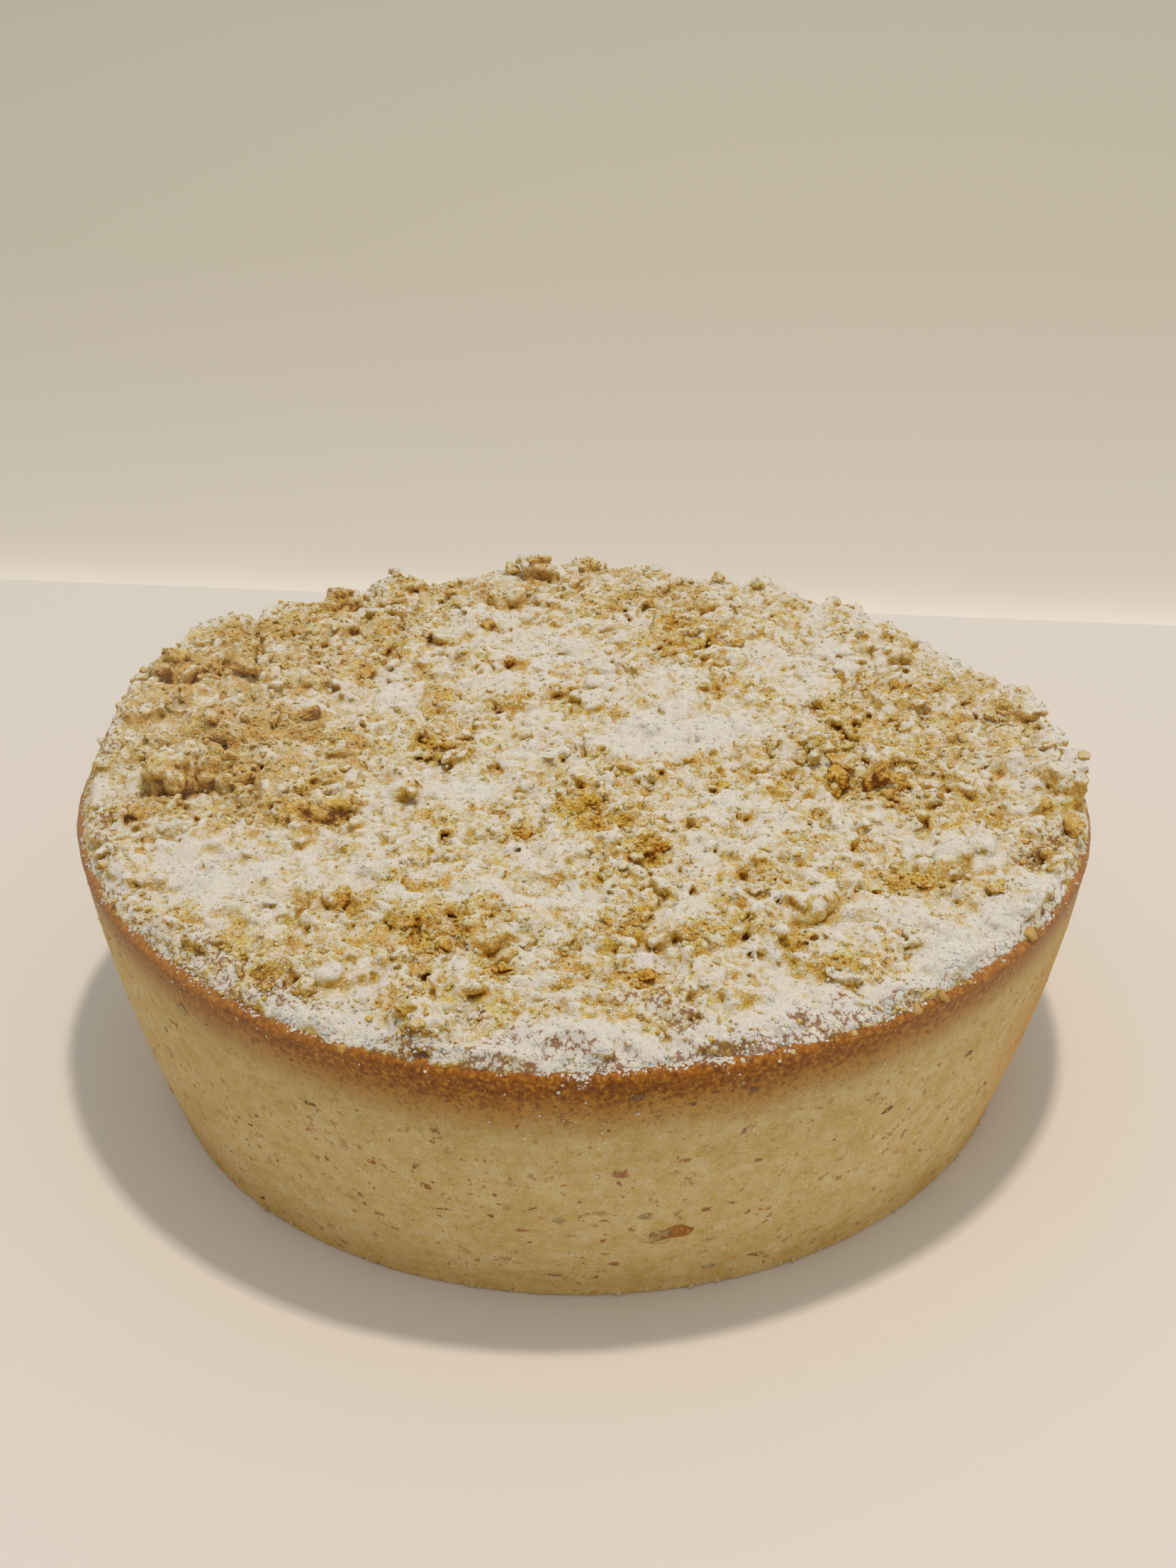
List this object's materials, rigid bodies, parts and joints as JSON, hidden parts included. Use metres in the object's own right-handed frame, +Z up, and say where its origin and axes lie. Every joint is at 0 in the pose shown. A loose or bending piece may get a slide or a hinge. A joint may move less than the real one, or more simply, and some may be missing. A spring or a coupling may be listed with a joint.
{
  "type": "apple crumble tart",
  "caption": "Deep round shortcrust tart with a tapered case and a heaped crumble topping dusted with icing sugar, whole and uncut.",
  "frame": {"origin": "on the ground at the centre of the base", "axes": "+Z up, -Y the side that faces the viewer, +X to the viewer's right"},
  "size_m": [0.172, 0.172, 0.062],
  "materials": {
    "pastry": "matte baked shortcrust, browner under the rim",
    "crumble": "matte granular crumble under icing sugar"
  },
  "bodies": {
    "root": {"pastry_case": "pastry", "crumble_topping": "crumble"}
  },
  "joints": []
}
